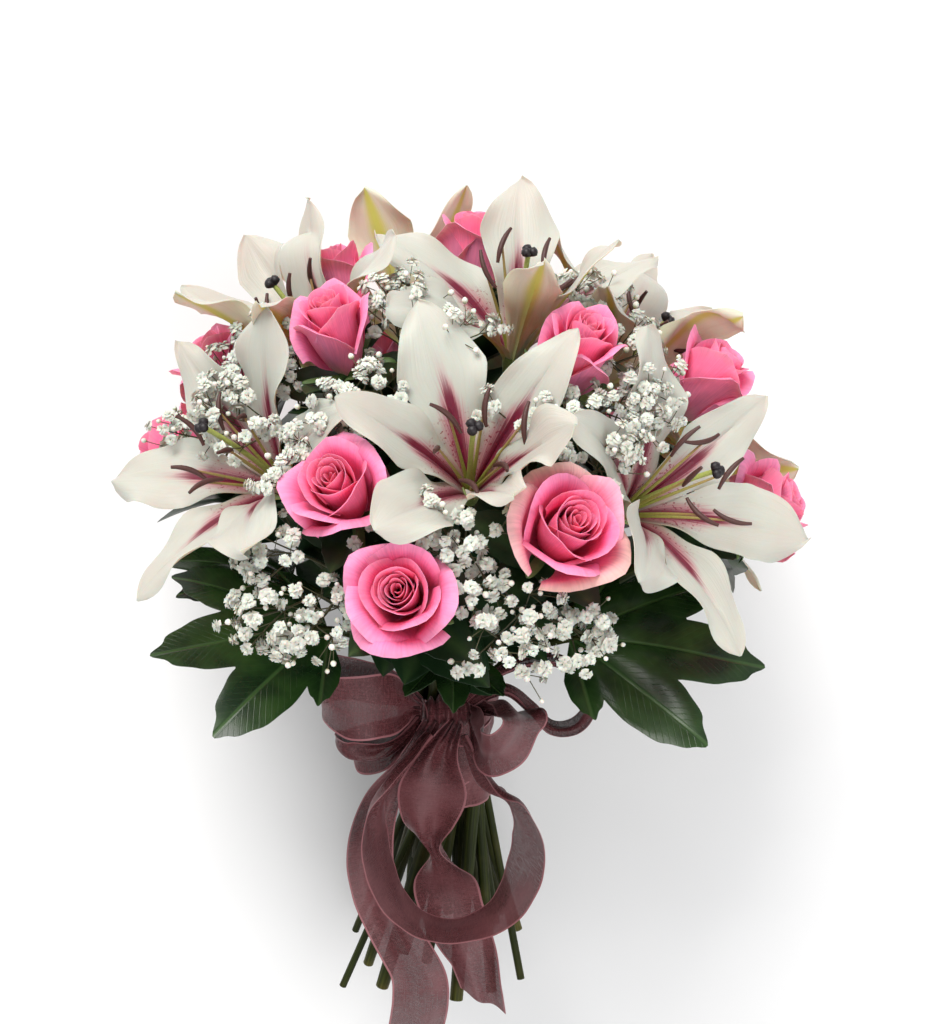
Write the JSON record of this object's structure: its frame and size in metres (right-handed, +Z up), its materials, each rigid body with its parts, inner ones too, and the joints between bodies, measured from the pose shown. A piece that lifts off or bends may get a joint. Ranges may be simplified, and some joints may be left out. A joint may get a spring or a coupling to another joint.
{
  "type": "bridal bouquet",
  "caption": "Hand-tied bridal bouquet of pink roses, white lilies, baby's breath and dark lobed leaves, bound with sheer mauve ribbon; it lies on its side.",
  "frame": {"origin": "middle of the bouquet's bounding box, at the surface it lies on", "axes": "+Y from the cut stem ends towards the head of flowers, +Z up from the surface it lies on, +X to the right of somebody who looks at the bow with the flowers upwards"},
  "size_m": [0.3946, 0.5086, 0.3479],
  "materials": {
    "rose_pink": "soft satin petals, deeper pink towards the heart",
    "lily_white": "waxy cream-white tepals with a crimson midrib",
    "leaf_green": "dark green, glossy, with pale veins",
    "stem_green": "matt green cut stems",
    "breath_white": "tiny matt white double florets on thin green twigs",
    "ribbon_mauve": "sheer dusky mauve organza with a satin edge thread"
  },
  "bodies": {
    "root": {"breath_sprig_01": "breath_white", "breath_sprig_02": "breath_white", "breath_sprig_03": "breath_white", "breath_sprig_04": "breath_white", "breath_sprig_05": "breath_white", "leaf_01": "leaf_green", "leaf_02": "leaf_green", "leaf_03": "leaf_green", "leaf_04": "leaf_green", "leaf_05": "leaf_green", "lily_bloom_01": "lily_white", "lily_bloom_02": "lily_white", "lily_bloom_03": "lily_white", "lily_bloom_04": "lily_white", "lily_bloom_05": "lily_white", "lily_bloom_06": "lily_white", "lily_bloom_07": "lily_white", "lily_bloom_08": "lily_white", "lily_stem_01": "stem_green", "lily_stem_02": "stem_green", "lily_stem_03": "stem_green", "lily_stem_04": "stem_green", "lily_stem_05": "stem_green", "ribbon_band": "ribbon_mauve", "ribbon_bow_left": "ribbon_mauve", "ribbon_bow_left_low": "ribbon_mauve", "ribbon_bow_right": "ribbon_mauve", "ribbon_hanging_loop": "ribbon_mauve", "ribbon_side_loop": "ribbon_mauve", "ribbon_tail_left": "ribbon_mauve", "ribbon_tail_right": "ribbon_mauve", "rose_bloom_01": "rose_pink", "rose_bloom_02": "rose_pink", "rose_bloom_03": "rose_pink", "rose_bloom_04": "rose_pink", "rose_bloom_05": "rose_pink", "rose_bloom_06": "rose_pink", "rose_bloom_07": "rose_pink", "rose_bloom_08": "rose_pink", "rose_bloom_09": "rose_pink", "rose_bloom_10": "rose_pink", "rose_bloom_11": "rose_pink", "rose_bloom_12": "rose_pink", "rose_bloom_13": "rose_pink", "rose_bloom_14": "rose_pink", "rose_stem_01": "stem_green", "rose_stem_02": "stem_green", "rose_stem_03": "stem_green", "rose_stem_04": "stem_green", "rose_stem_05": "stem_green", "rose_stem_06": "stem_green", "rose_stem_07": "stem_green", "rose_stem_08": "stem_green", "rose_stem_09": "stem_green", "rose_stem_10": "stem_green", "rose_stem_11": "stem_green", "rose_stem_12": "stem_green", "rose_stem_13": "stem_green", "rose_stem_14": "stem_green"}
  },
  "joints": []
}
